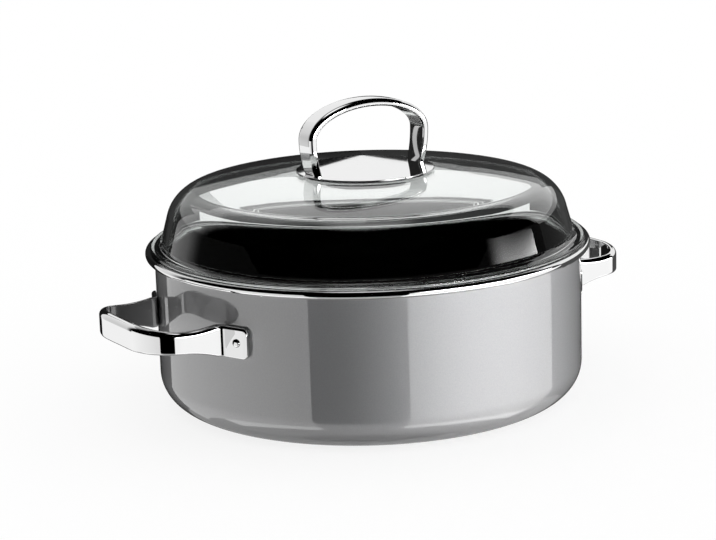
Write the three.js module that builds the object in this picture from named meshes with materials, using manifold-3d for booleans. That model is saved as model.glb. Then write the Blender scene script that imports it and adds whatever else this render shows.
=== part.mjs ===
// Braising pot: enamelled steel pot with a polished rim, two strap handles and a domed glass lid.
// Millimetres, +Z up. The origin is the centre of the base, and the handles lie along X.
import * as THREE from 'three';
import { mergeVertices } from 'three/addons/utils/BufferGeometryUtils.js';
import Module from 'manifold-3d';

// Pot
const POT_RADIUS = 142;
const POT_HEIGHT = 103.3;
const POT_WALL = 2;
const POT_FLOOR = 3;
const BASE_ROUNDING = 22.5;
const LIP_REACH = 4;
const LIP_BEND = 2;

// Rim ring, a bead folded over the lip
const RING_SHEET = 1;
const RING_TOP = 1.7;
const RING_BULGE = 1.8;
const RING_INSET = 1.7;

// Side handles, each a strap bent out of one bar
const HANDLE_HEIGHT = 67.7;
const HANDLE_RISE = 4.1;
const HANDLE_REACH = 45.5;
const HANDLE_WIDTH = 94;
const CORNER_DEPTH = 20;
const CORNER_WIDTH = 30;
const CREASE_LENGTH = 4.5;
const PAD_LENGTH = 20.8;
const PAD_HEIGHT = 20.4;
const PAD_THICKNESS = 3;
const PAD_CORNER = 3.5;
const FLARE_LENGTH = 24;
const ARM_HEIGHT = 14;
const ARM_THICKNESS = 4;
const GRIP_HEIGHT = 17;
const GRIP_THICKNESS = 5;
// Edge radii as shares of the thickness: outer top, outer foot and both inner edges
const STRAP_BROW = 0.78;
const STRAP_FOOT = 0.4;
const STRAP_EDGE = 0.2;

// Studs that hold the pads to the wall
const STUD_SHANK = 1.6;
const STUD_HEAD = 2.7;
const STUD_DOME = 1.1;

// Glass lid
const GLASS = 4.5;
const SKIRT_GAP = 1.4;
const SKIRT_DEPTH = 3.5;
const FLANGE_INSET = 1.6;
const FLANGE_EDGE = 2.2;
const FLANGE_FILLET = 4.2;
const DOME_RISE = 46.4;
const DOME_LEAN = THREE.MathUtils.degToRad(15.5);
const SHOULDER_RADIUS = 25;
const CROWN_RADIUS = 329;
const SEAT_MARGIN = 1.2;

// Plate, gaskets, washer and screw at the crown of the lid
const PLATE_RADIUS = 45.8;
const PLATE_THICKNESS = 1.2;
const PLATE_EDGE = 0.3;
const PLATE_SKIN = 0.6;
const PLATE_GASKET = 0.8;
const GASKET_INSET = 1.3;
const INNER_GASKET = 1;
const WASHER_RADIUS = 15;
const WASHER_THICKNESS = 1.4;
const BOSS_WALL = 2.7;
const BOSS_LENGTH = 3.8;
const SCREW_RADIUS = 2;
const SCREW_HEAD_RADIUS = 4.5;
const SCREW_HEAD = 2.6;
const SCREW_SLOT_WIDTH = 1.2;
const SCREW_SLOT_DEPTH = 1.2;

// Bow on the lid
const BOW_HEIGHT = 47.3;
const BOW_FOOT_SPAN = 85;
const BOW_BELLY_SPAN = 92.4;
const BOW_LEG = 23;
const BOW_WIDTH = 17.5;
const BOW_FOOT_WIDTH = 15.5;
const BOW_LEG_THICKNESS = 4.8;
const BOW_TOP_THICKNESS = 5.4;
// Edge radius as a share of the thickness
const BOW_EDGE = 0.46;

// Clearance between pieces that are fitted into each other, and facets of round pieces
const FIT = 0.3;
const LARGE_FACETS = 50;
const MEDIUM_FACETS = 36;
const SMALL_FACETS = 16;
const ARC_STEPS = 3;
const LEAST_STEP = 1e-6;

const lipEdge = POT_RADIUS + LIP_REACH;
const lipUnder = POT_HEIGHT - POT_WALL;
const potBore = POT_RADIUS - POT_WALL;
const rimTop = POT_HEIGHT + RING_TOP;
const ringEdge = lipEdge + FIT + RING_BULGE;
const padFace = POT_RADIUS + FIT + PAD_THICKNESS;
const crownTop = rimTop + DOME_RISE;
const crownUnder = crownTop - GLASS;
const plateUnder = crownTop + PLATE_GASKET;
const plateTop = plateUnder + PLATE_THICKNESS;
const screwBore = SCREW_RADIUS + FIT;
const bossRadius = screwBore + BOSS_WALL;
const glassBore = bossRadius + 2 * FIT;
const seatRadius = PLATE_RADIUS + SEAT_MARGIN;

const wasm = await Module();
wasm.setup();

const polished = { color: 0xd9dadb, metalness: 1, roughness: 0.08 };
const enamel = { color: 0x8f9093, metalness: 0.5, roughness: 0.3 };
const glass = { color: 0xeef2f1, metalness: 0, roughness: 0.02, transparent: true, opacity: 0.3 };
const silicone = { color: 0x2a2b2c, metalness: 0, roughness: 0.7 };

function piece(name, geometry, look) {
  const mesh = new THREE.Mesh(geometry, new THREE.MeshStandardMaterial(look));
  mesh.name = name;
  return mesh;
}

// Turns a profile of radius and height round the Z axis. It runs anticlockwise.
function revolve(path, facets) {
  const points = path.getPoints(ARC_STEPS);
  const distinct = points.filter((point, i) => i === 0 || point.distanceTo(points[i - 1]) > LEAST_STEP);
  return new THREE.LatheGeometry(distinct, facets).rotateX(Math.PI / 2);
}

function profile(...corners) {
  const path = new THREE.Path().moveTo(...corners[0]);
  for (const corner of corners.slice(1)) path.lineTo(...corner);
  return path;
}

// A flat ring, or a disc with a hole, between two radii and two heights.
function washer(inner, outer, low, high, facets) {
  return revolve(profile([inner, low], [outer, low], [outer, high], [inner, high], [inner, low]), facets);
}

// Skin over a row of loops with equally many points, closed by a flat cap at each end.
function loft(loops) {
  const count = loops[0].length;
  const faces = [];
  for (let row = 0; row + 1 < loops.length; row++) {
    for (let i = 0; i < count; i++) {
      const a = row * count + i;
      const b = row * count + ((i + 1) % count);
      faces.push(a, b, b + count, a, b + count, a + count);
    }
  }
  const last = (loops.length - 1) * count;
  for (let i = 1; i + 1 < count; i++) {
    faces.push(0, i + 1, i);
    faces.push(last, last + i, last + i + 1);
  }
  const geometry = new THREE.BufferGeometry().setFromPoints(loops.flat());
  geometry.setIndex(faces);
  return geometry;
}

// Rectangle as points about its middle, with a radius for each corner, anticlockwise from the outer top one.
function strapSection(width, height, radii) {
  const shape = new THREE.Path();
  radii.forEach((radius, quarter) => {
    const x = (width / 2 - radius) * (quarter % 3 === 0 ? 1 : -1);
    const y = (height / 2 - radius) * (quarter < 2 ? 1 : -1);
    const start = quarter * Math.PI / 2;
    shape.absarc(x, y, radius, start, start + Math.PI / 2);
  });
  return shape.getPoints(1);
}

function solid(geometry) {
  const bare = geometry.clone();
  bare.deleteAttribute('normal');
  bare.deleteAttribute('uv');
  const merged = mergeVertices(bare);
  const vertProperties = merged.getAttribute('position').array;
  const triVerts = new Uint32Array(merged.index.array);
  return new wasm.Manifold(new wasm.Mesh({ numProp: 3, vertProperties, triVerts }));
}

function cut(geometry, ...tools) {
  const left = tools.reduce((body, tool) => body.subtract(solid(tool)), solid(geometry));
  const mesh = left.getMesh();
  const result = new THREE.BufferGeometry();
  result.setAttribute('position', new THREE.BufferAttribute(mesh.vertProperties, 3));
  result.setIndex(new THREE.BufferAttribute(mesh.triVerts, 1));
  return result;
}

function makePotBody() {
  const bottom = POT_RADIUS - BASE_ROUNDING;
  const inside = BASE_ROUNDING - POT_WALL;
  const bend = POT_RADIUS + LIP_BEND;
  const path = profile([0, 0], [bottom, 0]);
  path.absarc(bottom, BASE_ROUNDING, BASE_ROUNDING, -Math.PI / 2, 0);
  path.absarc(bend, lipUnder - LIP_BEND, LIP_BEND, Math.PI, Math.PI / 2, true);
  path.lineTo(lipEdge, lipUnder).lineTo(lipEdge, POT_HEIGHT);
  path.absarc(bend, lipUnder - LIP_BEND, LIP_BEND + POT_WALL, Math.PI / 2, Math.PI);
  path.absarc(bottom, POT_FLOOR + inside, inside, 0, -Math.PI / 2, true);
  path.lineTo(0, POT_FLOOR);
  return revolve(path, LARGE_FACETS);
}

// The bead is bulged outside, flat on top for the lid, and open towards the wall for the lip.
function makeRimRing() {
  const low = lipUnder - FIT;
  const foot = POT_RADIUS + LIP_BEND + FIT;
  const slot = lipEdge + FIT;
  const start = low - RING_SHEET;
  const middle = (start + rimTop) / 2;
  const path = profile([foot, start], [slot, start]);
  path.absellipse(slot, middle, ringEdge - slot, rimTop - middle, -Math.PI / 2, Math.PI / 2);
  path.lineTo(potBore + RING_INSET, rimTop).lineTo(potBore + RING_INSET, POT_HEIGHT);
  path.lineTo(slot, POT_HEIGHT).lineTo(slot, low).lineTo(foot, low).lineTo(foot, start);
  return revolve(path, LARGE_FACETS);
}

// Half of the strap's middle line in plan, from the end of a pad to the middle of the grip.
function strapRoute() {
  const padMiddle = padFace - PAD_THICKNESS / 2;
  const arm = HANDLE_WIDTH / 2 - ARM_THICKNESS / 2;
  const grip = POT_RADIUS + HANDLE_REACH - GRIP_THICKNESS / 2;
  const turn = Math.asin(arm / padMiddle);
  const padStart = turn + CREASE_LENGTH / padMiddle;
  const padEnd = turn + PAD_LENGTH / padMiddle;
  const onPad = (angle) => new THREE.Vector2(Math.cos(angle), Math.sin(angle)).multiplyScalar(padMiddle);
  const crease = onPad(turn);
  const armStart = new THREE.Vector2(crease.x + CREASE_LENGTH, arm);
  const armEnd = new THREE.Vector2(grip - CORNER_DEPTH, arm);
  const pad = new THREE.EllipseCurve(0, 0, padMiddle, padMiddle, padEnd, padStart, true);
  const fold = new THREE.QuadraticBezierCurve(onPad(padStart), crease, armStart);
  const corner = new THREE.EllipseCurve(
    armEnd.x, arm - CORNER_WIDTH, CORNER_DEPTH, CORNER_WIDTH, Math.PI / 2, 0, true);
  const stud = (padStart + padEnd) / 2;
  return { pad, fold, straight: new THREE.LineCurve(armStart, armEnd), corner, crease, grip, stud };
}

// Places along half the strap, each with its middle, its heading and the size of the section there.
function strapStations() {
  const { pad, fold, straight, corner, crease, grip } = strapRoute();
  const stations = [];
  const add = (curve, at, height, thickness) => {
    stations.push({ middle: curve.getPointAt(at), heading: curve.getTangentAt(at), height, thickness });
  };
  const roundSteps = 3;
  const padMiddleShare = 0.7;
  for (let i = 0; i <= roundSteps; i++) {
    const angle = (i / roundSteps) * (Math.PI / 2);
    const along = PAD_CORNER * (1 - Math.cos(angle));
    const inset = PAD_CORNER * (1 - Math.sin(angle));
    add(pad, along / pad.getLength(), PAD_HEIGHT - 2 * inset, PAD_THICKNESS);
  }
  add(pad, padMiddleShare, PAD_HEIGHT, PAD_THICKNESS);
  const swell = (from, to, share) => THREE.MathUtils.lerp(from, to, THREE.MathUtils.smoothstep(share, 0, 1));
  const foldSteps = 4;
  for (let i = 0; i <= foldSteps; i++) {
    add(fold, i / foldSteps, PAD_HEIGHT, swell(PAD_THICKNESS, ARM_THICKNESS, i / foldSteps));
  }
  const armSteps = 6;
  const armLength = straight.getLength();
  for (let i = 1; i < armSteps; i++) {
    const flare = Math.max(0, 1 - (i / armSteps) * armLength / FLARE_LENGTH) ** 2;
    add(straight, i / armSteps, THREE.MathUtils.lerp(ARM_HEIGHT, PAD_HEIGHT, flare), ARM_THICKNESS);
  }
  const cornerSteps = 8;
  for (let i = 0; i <= cornerSteps; i++) {
    const share = i / cornerSteps;
    add(corner, share, swell(ARM_HEIGHT, GRIP_HEIGHT, share), swell(ARM_THICKNESS, GRIP_THICKNESS, share));
  }
  for (const station of stations) {
    const share = Math.max(0, (station.middle.x - crease.x) / (grip - crease.x));
    station.level = HANDLE_HEIGHT + HANDLE_RISE * share;
  }
  return stations;
}

// A stud hole's or stud's place on a pad: standing on the wall, with +Z pointing straight out of it.
function ontoPad(object, side) {
  const angle = strapRoute().stud * side;
  object.rotateY(Math.PI / 2).rotateZ(angle);
  return object.translate(POT_RADIUS * Math.cos(angle), POT_RADIUS * Math.sin(angle), HANDLE_HEIGHT);
}

// The strap is made at the +X side of the pot.
function makeHandle() {
  const half = strapStations();
  const mirrored = half.slice().reverse().map((station) => ({
    ...station,
    middle: new THREE.Vector2(station.middle.x, -station.middle.y),
    heading: new THREE.Vector2(-station.heading.x, station.heading.y),
  }));
  const edges = [STRAP_BROW, STRAP_EDGE, STRAP_EDGE, STRAP_FOOT];
  const loops = [...half, ...mirrored].map(({ middle, heading, height, thickness, level }) =>
    strapSection(thickness, height, edges.map((edge) => edge * thickness)).map((point) => new THREE.Vector3(
      middle.x - heading.y * point.x, middle.y + heading.x * point.x, level + point.y)));
  const holes = [1, -1].map((side) => {
    const drill = new THREE.CylinderGeometry(
      STUD_SHANK + FIT, STUD_SHANK + FIT, 4 * PAD_THICKNESS, SMALL_FACETS).rotateX(Math.PI / 2);
    return ontoPad(drill, side);
  });
  return cut(loft(loops), ...holes);
}

function makeStud(side) {
  const seat = FIT + PAD_THICKNESS + FIT / 2;
  const path = profile([0, FIT], [STUD_SHANK, FIT], [STUD_SHANK, seat], [STUD_HEAD, seat]);
  path.absellipse(0, seat, STUD_HEAD, STUD_DOME, 0, Math.PI / 2);
  return ontoPad(revolve(path, SMALL_FACETS), side);
}

// Outer or inner skin of the dome, set in by a depth: crown arc, shoulder arc and leaning wall.
function domeArcs(depth) {
  const crown = { x: seatRadius, y: crownTop - CROWN_RADIUS, radius: CROWN_RADIUS - depth };
  const shoulder = { radius: SHOULDER_RADIUS - depth };
  const wall = new THREE.Vector2(-Math.sin(DOME_LEAN), Math.cos(DOME_LEAN));
  const inward = new THREE.Vector2(-Math.cos(DOME_LEAN), -Math.sin(DOME_LEAN));
  const foot = new THREE.Vector2(potBore - SKIRT_GAP, rimTop);
  const start = foot.clone().addScaledVector(inward, SHOULDER_RADIUS).sub(crown);
  const reach = CROWN_RADIUS - SHOULDER_RADIUS;
  const slide = -start.dot(wall) + Math.sqrt(start.dot(wall) ** 2 - start.lengthSq() + reach ** 2);
  shoulder.x = crown.x + start.x + slide * wall.x;
  shoulder.y = crown.y + start.y + slide * wall.y;
  const meet = Math.atan2(shoulder.y - crown.y, shoulder.x - crown.x);
  const wallAt = (height) => foot.x - depth / Math.cos(DOME_LEAN) - (height - rimTop) * Math.tan(DOME_LEAN);
  return { crown, shoulder, meet, wallAt };
}

function makeGlassLid() {
  const outer = domeArcs(0);
  const inner = domeArcs(GLASS);
  const skirt = potBore - SKIRT_GAP;
  const skirtEnd = rimTop - SKIRT_DEPTH;
  const edge = FLANGE_EDGE / 2;
  const flangeEdge = ringEdge - RING_BULGE - FLANGE_INSET;
  const flangeTop = rimTop + FLANGE_EDGE;
  const filletEnd = flangeTop + FLANGE_FILLET;
  const path = profile([glassBore, crownUnder], [seatRadius, crownUnder]);
  path.absarc(inner.crown.x, inner.crown.y, inner.crown.radius, Math.PI / 2, inner.meet, true);
  path.absarc(inner.shoulder.x, inner.shoulder.y, inner.shoulder.radius, inner.meet, DOME_LEAN, true);
  path.lineTo(inner.wallAt(skirtEnd), skirtEnd);
  path.lineTo(skirt, skirtEnd).lineTo(skirt, rimTop).lineTo(flangeEdge - edge, rimTop);
  path.absarc(flangeEdge - edge, rimTop + edge, edge, -Math.PI / 2, Math.PI / 2);
  path.lineTo(outer.wallAt(flangeTop) + FLANGE_FILLET, flangeTop);
  path.quadraticCurveTo(outer.wallAt(flangeTop), flangeTop, outer.wallAt(filletEnd), filletEnd);
  path.absarc(outer.shoulder.x, outer.shoulder.y, outer.shoulder.radius, DOME_LEAN, outer.meet);
  path.absarc(outer.crown.x, outer.crown.y, outer.crown.radius, outer.meet, Math.PI / 2);
  path.lineTo(glassBore, crownTop).lineTo(glassBore, crownUnder);
  return revolve(path, LARGE_FACETS);
}

// The plate carries a boss underneath, which stands in the bore of the glass and takes the screw.
function makeLidPlate() {
  const bossEnd = plateUnder - BOSS_LENGTH;
  const blind = plateTop - PLATE_SKIN;
  const path = profile([0, blind], [screwBore, blind], [screwBore, bossEnd], [bossRadius, bossEnd]);
  path.lineTo(bossRadius, plateUnder).lineTo(PLATE_RADIUS, plateUnder);
  path.absarc(PLATE_RADIUS - PLATE_EDGE, plateTop - PLATE_EDGE, PLATE_EDGE, 0, Math.PI / 2);
  path.lineTo(0, plateTop);
  return revolve(path, MEDIUM_FACETS);
}

function makeLidScrew() {
  const seat = crownUnder - INNER_GASKET - WASHER_THICKNESS;
  const tip = plateTop - PLATE_SKIN - FIT;
  const round = SCREW_HEAD / 2;
  const path = profile([0, seat - SCREW_HEAD], [SCREW_HEAD_RADIUS - round, seat - SCREW_HEAD]);
  path.absarc(SCREW_HEAD_RADIUS - round, seat - round, round, -Math.PI / 2, 0);
  path.lineTo(SCREW_HEAD_RADIUS, seat).lineTo(SCREW_RADIUS, seat).lineTo(SCREW_RADIUS, tip).lineTo(0, tip);
  const slot = new THREE.BoxGeometry(3 * SCREW_HEAD_RADIUS, SCREW_SLOT_WIDTH, 2 * SCREW_SLOT_DEPTH);
  slot.translate(0, 0, seat - SCREW_HEAD);
  return cut(revolve(path, SMALL_FACETS), slot);
}

// The bow stands in the XZ plane on level feet: two legs that swell outward, and an arch as half an ellipse.
function makeLidHandle() {
  const foot = BOW_FOOT_SPAN / 2 - BOW_LEG_THICKNESS / 2;
  const belly = BOW_BELLY_SPAN / 2 - BOW_LEG_THICKNESS / 2;
  const archRise = BOW_HEIGHT - BOW_LEG - BOW_TOP_THICKNESS / 2;
  const stations = [];
  const legSteps = 5;
  for (let i = 0; i < legSteps; i++) {
    const share = i / legSteps;
    const swell = 1 - (1 - share) ** 2;
    const slope = i === 0 ? 0 : 2 * (1 - share) * (belly - foot) / BOW_LEG;
    stations.push({
      x: THREE.MathUtils.lerp(foot, belly, swell),
      z: plateTop + share * BOW_LEG,
      heading: new THREE.Vector2(slope, 1).normalize(),
      width: THREE.MathUtils.lerp(BOW_FOOT_WIDTH, BOW_WIDTH, swell),
      thickness: BOW_LEG_THICKNESS,
    });
  }
  const archSteps = 10;
  for (let i = 0; i <= archSteps; i++) {
    const angle = (i / archSteps) * (Math.PI / 2);
    stations.push({
      x: belly * Math.cos(angle),
      z: plateTop + BOW_LEG + archRise * Math.sin(angle),
      heading: new THREE.Vector2(-belly * Math.sin(angle), archRise * Math.cos(angle)).normalize(),
      width: BOW_WIDTH,
      thickness: THREE.MathUtils.lerp(BOW_LEG_THICKNESS, BOW_TOP_THICKNESS, Math.sin(angle)),
    });
  }
  const mirrored = stations.slice(0, -1).reverse().map((station) => ({
    ...station,
    x: -station.x,
    heading: new THREE.Vector2(station.heading.x, -station.heading.y),
  }));
  const loops = [...stations, ...mirrored].map(({ x, z, heading, width, thickness }) =>
    strapSection(thickness, width, new Array(4).fill(BOW_EDGE * thickness)).map((point) => new THREE.Vector3(
      x + heading.y * point.x, point.y, z - heading.x * point.x)));
  return loft(loops);
}

const pot = new THREE.Group();
pot.add(piece('pot_body', makePotBody(), enamel));
pot.add(piece('rim_ring', makeRimRing(), polished));
for (const [name, turn] of [['right', 0], ['left', Math.PI]]) {
  const side = new THREE.Group();
  side.rotation.z = turn;
  side.add(piece(`${name}_handle`, makeHandle(), polished));
  const frontSide = name === 'left' ? 1 : -1;
  side.add(piece(`${name}_front_stud`, makeStud(frontSide), polished));
  side.add(piece(`${name}_rear_stud`, makeStud(-frontSide), polished));
  pot.add(side);
}

const lid = new THREE.Group();
const innerGasketEnd = crownUnder - INNER_GASKET;
const plateGasketEdge = PLATE_RADIUS - GASKET_INSET;
const innerGasketEdge = WASHER_RADIUS + FIT;
const plateGasket = washer(glassBore, plateGasketEdge, crownTop, plateUnder, MEDIUM_FACETS);
const innerGasket = washer(glassBore, innerGasketEdge, innerGasketEnd, crownUnder, MEDIUM_FACETS);
const innerWasher = washer(
  screwBore, WASHER_RADIUS, innerGasketEnd - WASHER_THICKNESS, innerGasketEnd, MEDIUM_FACETS);
lid.add(piece('glass_lid', makeGlassLid(), glass));
lid.add(piece('plate_gasket', plateGasket, silicone));
lid.add(piece('lid_plate', makeLidPlate(), polished));
lid.add(piece('lid_handle', makeLidHandle(), polished));
lid.add(piece('inner_gasket', innerGasket, silicone));
lid.add(piece('inner_washer', innerWasher, polished));
lid.add(piece('lid_screw', makeLidScrew(), polished));

const braisingPot = new THREE.Group();
braisingPot.add(pot, lid);

export default braisingPot;
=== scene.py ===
"""Braising pot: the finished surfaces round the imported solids, the studio and the camera.

Metres, +Z up. The origin is the centre of the base, and the handles lie along X.
"""
import math
from typing import NamedTuple

import bpy
from bpy.props import FloatProperty, FloatVectorProperty, PointerProperty
from mathutils import Matrix, Quaternion, Vector


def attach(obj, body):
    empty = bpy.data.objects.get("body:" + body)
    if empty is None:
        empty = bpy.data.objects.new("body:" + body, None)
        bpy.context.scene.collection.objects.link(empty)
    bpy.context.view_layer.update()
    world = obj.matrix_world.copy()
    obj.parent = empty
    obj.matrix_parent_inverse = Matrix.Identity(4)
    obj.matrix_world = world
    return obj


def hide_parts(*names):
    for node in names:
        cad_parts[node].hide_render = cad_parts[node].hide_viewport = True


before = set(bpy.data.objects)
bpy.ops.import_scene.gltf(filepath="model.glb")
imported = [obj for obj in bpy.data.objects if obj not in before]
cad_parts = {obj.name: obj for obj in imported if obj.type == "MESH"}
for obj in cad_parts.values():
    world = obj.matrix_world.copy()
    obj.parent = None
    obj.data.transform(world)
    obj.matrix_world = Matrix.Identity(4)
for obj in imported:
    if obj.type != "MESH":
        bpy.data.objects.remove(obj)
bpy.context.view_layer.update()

bl_info = {
    "name": "Braising Pot",
    "version": (1, 0, 0),
    "blender": (4, 5, 0),
    "location": "3D Viewport > Sidebar > Braising Pot",
    "description": "Builds an enamelled braising pot with strap handles and a domed glass lid",
    "category": "Object",
}

MM = 0.001
# Facets round the large and the small circles.
ROUND_STEPS = 256
SMALL_STEPS = 64
# Facets of one arc: most of them, the large ones, and the small ones on edges and corners.
ARC_STEPS = 14
WIDE_ARC_STEPS = 24
CORNER_STEPS = 7
RING_EDGE_STEPS = 5
PLATE_EDGE_STEPS = 6
SCREW_HEAD_STEPS = 8
# Facets along the side handles and along the bow, and across its crowned side.
ARM_STEPS = 16
GRIP_BEND_STEPS = 28
LEG_STEPS = 16
ARCH_STEPS = 36
CROWN_STEPS = 8
CREASE_ANGLE = math.radians(32)


def linear(code):
    """Turns an sRGB hex colour into linear red, green and blue, by the formula of that standard."""
    shares = [int(code[i:i + 2], 16) / 255 for i in (1, 3, 5)]
    return tuple(s / 12.92 if s <= 0.04045 else ((s + 0.055) / 1.055) ** 2.4 for s in shares)


def size(name, description, millimetres):
    return FloatProperty(name=name, description=description, default=millimetres * MM, min=0, unit="LENGTH")


def angle(name, description, degrees):
    return FloatProperty(name=name, description=description, default=math.radians(degrees), subtype="ANGLE")


def share(name, description, default):
    return FloatProperty(
        name=name, description=description, default=default, min=0, max=1, subtype="FACTOR")


def colour(name, description, code):
    return FloatVectorProperty(
        name=name, description=description, default=linear(code), size=3, min=0, max=1, subtype="COLOR")


class ShellSizes(bpy.types.PropertyGroup):
    """The enamelled pot and the steel ring folded over its lip."""
    radius: size("Radius", "Outside radius of the wall", 142)
    height: size("Height", "Height of the lip above the base", 103.3)
    wall: size("Wall", "Thickness of the wall", 2)
    floor: size("Floor", "Thickness of the base", 3)
    rounding: size("Rounding", "Outside radius between base and wall", 22.5)
    lip_reach: size("Lip reach", "How far the lip stands out from the wall", 4)
    lip_bend: size("Lip bend", "Radius of the bend under the lip", 2)
    ring_sheet: size("Ring sheet", "Thickness of the ring's steel", 1)
    ring_top: size("Ring top", "Steel above the lip", 1.7)
    ring_bulge: size("Ring bulge", "How far the bead swells out", 1.8)
    ring_inset: size("Ring inset", "Step from the bore to the ring", 1.7)
    fit: size("Fit", "Clearance between pieces that are fitted into each other", 0.3)

    @property
    def bore(self):
        return self.radius - self.wall

    @property
    def lip_edge(self):
        return self.radius + self.lip_reach

    @property
    def lip_under(self):
        return self.height - self.wall

    @property
    def rim_top(self):
        return self.height + self.ring_top

    @property
    def ring_edge(self):
        return self.lip_edge + self.fit + self.ring_bulge


class StrapSizes(bpy.types.PropertyGroup):
    """The two side handles, each bent out of one bar, and the studs that hold them."""
    height: size("Height", "Middle of the pads above the base", 67.7)
    rise: size("Rise", "How much higher the grip is than the pads", 4.1)
    reach: size("Reach", "How far the grip stands out from the wall", 45.5)
    width: size("Width", "Width over both arms", 94)
    corner_depth: size("Corner depth", "Depth of the bend from arm to grip", 20)
    corner_width: size("Corner width", "Width of the bend from arm to grip", 30)
    crease: size("Crease", "Length of the fold between pad and arm", 4.5)
    pad_length: size("Pad length", "Length of a pad along the wall", 20.8)
    pad_height: size("Pad height", "Height of a pad", 20.4)
    pad_thickness: size("Pad thickness", "Thickness of a pad", 3)
    pad_corner: size("Pad corner", "Corner radius of a pad", 3.5)
    flare: size("Flare", "Length over which a pad narrows to the arm", 24)
    arm_height: size("Arm height", "Height of the bar at the arms", 14)
    arm_thickness: size("Arm thickness", "Thickness of the bar at the arms", 4)
    grip_height: size("Grip height", "Height of the bar at the grip", 17)
    grip_thickness: size("Grip thickness", "Thickness of the bar at the grip", 5)
    brow: share("Brow", "Radius of the outer top edge as a share of the thickness", 0.78)
    foot: share("Foot", "Radius of the outer lower edge as a share of the thickness", 0.4)
    edge: share("Edge", "Radius of the inner edges as a share of the thickness", 0.2)
    stud_shank: size("Stud shank", "Radius of a stud in its hole", 1.6)
    stud_head: size("Stud head", "Radius of a stud's head", 2.7)
    stud_dome: size("Stud dome", "Height of a stud's head", 1.1)


class LidSizes(bpy.types.PropertyGroup):
    """The glass dome, and the plate, gaskets, washer and screw at its crown."""
    glass: size("Glass", "Thickness of the glass", 4.5)
    skirt_gap: size("Skirt gap", "Room between the skirt and the bore", 1.4)
    skirt_depth: size("Skirt depth", "Length of the skirt inside the pot", 3.5)
    flange_inset: size("Flange inset", "Step from the bead to the flange", 1.6)
    flange_edge: size("Flange edge", "Thickness of the flange at its edge", 2.2)
    flange_fillet: size("Flange fillet", "Length of the fillet between flange and dome", 4.2)
    flange_air: size("Flange air", "Film of air between flange and ring", 0.05)
    rise: size("Rise", "Height of the dome above the ring", 46.4)
    lean: angle("Lean", "Lean of the dome's wall", 15.5)
    shoulder: size("Shoulder", "Radius between wall and crown", 25)
    crown: size("Crown", "Radius of the crown", 329)
    seat_margin: size("Seat margin", "Flat of the crown beyond the plate", 1.2)
    plate_radius: size("Plate radius", "Radius of the steel plate", 45.8)
    plate: size("Plate", "Thickness of the steel plate", 1.2)
    plate_edge: size("Plate edge", "Radius of the plate's upper edge", 0.3)
    plate_skin: size("Plate skin", "Steel over the end of the screw", 0.6)
    gasket: size("Gasket", "Thickness of the gasket under the plate", 0.8)
    gasket_inset: size("Gasket inset", "Step from the plate to its gasket", 1.3)
    inner_gasket: size("Inner gasket", "Thickness of the gasket inside", 1)
    washer_radius: size("Washer radius", "Radius of the washer inside", 15)
    washer: size("Washer", "Thickness of the washer inside", 1.4)
    boss_wall: size("Boss wall", "Wall of the boss under the plate", 2.7)
    boss_length: size("Boss length", "Length of the boss under the plate", 3.8)
    screw: size("Screw", "Radius of the screw", 2)
    screw_head_radius: size("Screw head radius", "Radius of the screw's head", 4.5)
    screw_head: size("Screw head", "Height of the screw's head", 2.6)
    screw_slot: size("Screw slot", "Width and depth of the screw's slot", 1.2)


class BowSizes(bpy.types.PropertyGroup):
    """The bow that lifts the lid."""
    height: size("Height", "Height of the bow above the plate", 47.3)
    foot_span: size("Foot span", "Width over the feet", 85)
    belly_span: size("Belly span", "Width over the legs at their widest", 92.4)
    leg: size("Leg", "Height of the legs below the arch", 23)
    width: size("Width", "Width of the strip", 17.5)
    foot_width: size("Foot width", "Width of the strip at its feet", 15.5)
    leg_thickness: size("Leg thickness", "Thickness of the strip at the legs", 4.8)
    top_thickness: size("Top thickness", "Thickness of the strip at the top", 5.4)
    edge: share("Edge", "Radius of the strip's inner edges as a share of its thickness", 0.25)
    brow: share("Brow", "Radius of the strip's outer edges as a share of its thickness", 0.55)
    crown: size("Crown", "How far the outer side falls to its edges at the top", 0.8)


class Finishes(bpy.types.PropertyGroup):
    """Colours of the materials."""
    enamel: colour("Enamel", "Silver grey of the outside", "#b6b6b7")
    lining: colour("Lining", "Black of the inside", "#0b0b0c")
    steel: colour("Steel", "Polished stainless steel", "#e6e6e6")
    glass: colour("Glass", "Clear glass", "#fafcfb")
    silicone: colour("Silicone", "Dark gaskets", "#2a2b2c")


class StageSettings(bpy.types.PropertyGroup):
    """Camera and studio."""
    aim: FloatVectorProperty(
        name="Aim", description="Point that the camera looks at", default=(-0.00585, 0.00358, 0.0838),
        size=3, subtype="XYZ", unit="LENGTH")
    azimuth: angle("Azimuth", "Turn of the camera round the pot", -31.5)
    elevation: angle("Elevation", "Height of the camera above the horizon", 13.37)
    distance: size("Distance", "From the aim to the camera", 1482.7)
    roll: angle("Roll", "Tilt of the camera about its own axis", -1.8)
    lens: FloatProperty(name="Lens", description="Focal length in millimetres", default=111.2, min=1)
    floor: size("Floor", "Radius of the floor", 8000)
    room: size("Room", "Radius of the dim room round the lit table", 950)
    room_height: size("Room height", "Height of the dim room's wall", 300)
    overhead: size("Overhead", "Radius of the softbox over the lid", 150)
    overhead_height: size("Overhead height", "Height of the softbox over the lid", 600)
    gap: size("Gap", "Half the gap between the black cards that edge the glass, at the pot", 132)
    gap_start: size("Gap start", "From the middle of the pot to the near end of the black cards", 250)


class BraisingPot(bpy.types.PropertyGroup):
    """All sizes and colours of the braising pot."""
    shell: PointerProperty(type=ShellSizes)
    strap: PointerProperty(type=StrapSizes)
    lid: PointerProperty(type=LidSizes)
    bow: PointerProperty(type=BowSizes)
    finish: PointerProperty(type=Finishes)
    stage: PointerProperty(type=StageSettings)


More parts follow.
